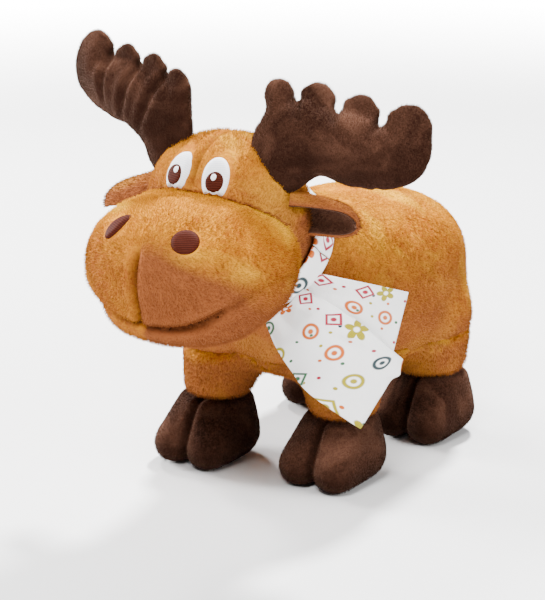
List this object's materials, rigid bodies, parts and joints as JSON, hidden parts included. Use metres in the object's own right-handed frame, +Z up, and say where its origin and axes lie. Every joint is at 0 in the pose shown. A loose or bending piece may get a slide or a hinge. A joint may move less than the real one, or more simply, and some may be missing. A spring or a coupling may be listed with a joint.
{
  "type": "plush moose",
  "caption": "Standing plush moose with a stuffed body, big muzzle, flat-sewn antlers, cloven velour hooves and a printed cotton scarf round its neck.",
  "frame": {"origin": "on the floor, below the middle of the whole toy's box", "axes": "-Y the way the toy faces, +Z up, +X to the toy's left"},
  "size_m": [0.2154, 0.3044, 0.2601],
  "materials": {
    "plush": "golden brown pile fabric",
    "velour": "short dark brown pile",
    "lining": "dark brown velour",
    "cotton": "white woven cotton with a small print",
    "white_thread": "satin embroidery thread",
    "brown_thread": "satin embroidery thread"
  },
  "bodies": {
    "torso": {"torso": "plush", "scarf": "cotton", "leg_front_left": "plush", "leg_front_right": "plush", "leg_rear_left": "plush", "leg_rear_right": "plush", "hoof_front_left": "velour", "hoof_front_right": "velour", "hoof_rear_left": "velour", "hoof_rear_right": "velour"},
    "head": {"head_crown": "plush", "muzzle": "plush", "lower_lip": "plush", "eye_white_left": "white_thread", "eye_white_right": "white_thread", "pupil_left": "brown_thread", "pupil_right": "brown_thread", "eye_glint_left": "white_thread", "eye_glint_right": "white_thread", "nostril_left": "brown_thread", "nostril_right": "brown_thread"},
    "antler_left": {"antler_left": "velour"},
    "antler_right": {"antler_right": "velour"},
    "ear_left": {"ear_left": "plush", "ear_lining_left": "lining"},
    "ear_right": {"ear_right": "plush", "ear_lining_right": "lining"},
    "tail": {"tail": "plush"}
  },
  "joints": [
    {"name": "head_nod", "type": "hinge", "parent": "torso", "child": "head", "pos_m": [-0.0013, -0.0432, 0.146], "axis": [1, 0, 0], "range_deg": [-10, 4], "stiffness_Nm_per_rad": 1.5, "springref_deg": -1.72},
    {"name": "antler_left_fold", "type": "hinge", "parent": "head", "child": "antler_left", "pos_m": [0.0297, -0.0742, 0.196], "axis": [0.021, 0.3666, 0.9301], "range_deg": [-12, 12], "stiffness_Nm_per_rad": 0.2},
    {"name": "antler_right_fold", "type": "hinge", "parent": "head", "child": "antler_right", "pos_m": [-0.0353, -0.0732, 0.199], "axis": [0.1833, -0.1015, 0.9778], "range_deg": [-12, 12], "stiffness_Nm_per_rad": 0.2},
    {"name": "ear_left_flap", "type": "hinge", "parent": "head", "child": "ear_left", "pos_m": [0.0457, -0.0672, 0.174], "axis": [0.5336, -0.8457, 0], "range_deg": [-12, 8], "stiffness_Nm_per_rad": 0.1},
    {"name": "ear_right_flap", "type": "hinge", "parent": "head", "child": "ear_right", "pos_m": [-0.0483, -0.0672, 0.174], "axis": [0.0421, 0.9991, 0], "range_deg": [-12, 8], "stiffness_Nm_per_rad": 0.1},
    {"name": "tail_lift", "type": "hinge", "parent": "torso", "child": "tail", "pos_m": [-0.0013, 0.1308, 0.122], "axis": [1, 0, 0], "range_deg": [-8, 16], "stiffness_Nm_per_rad": 0.1}
  ]
}
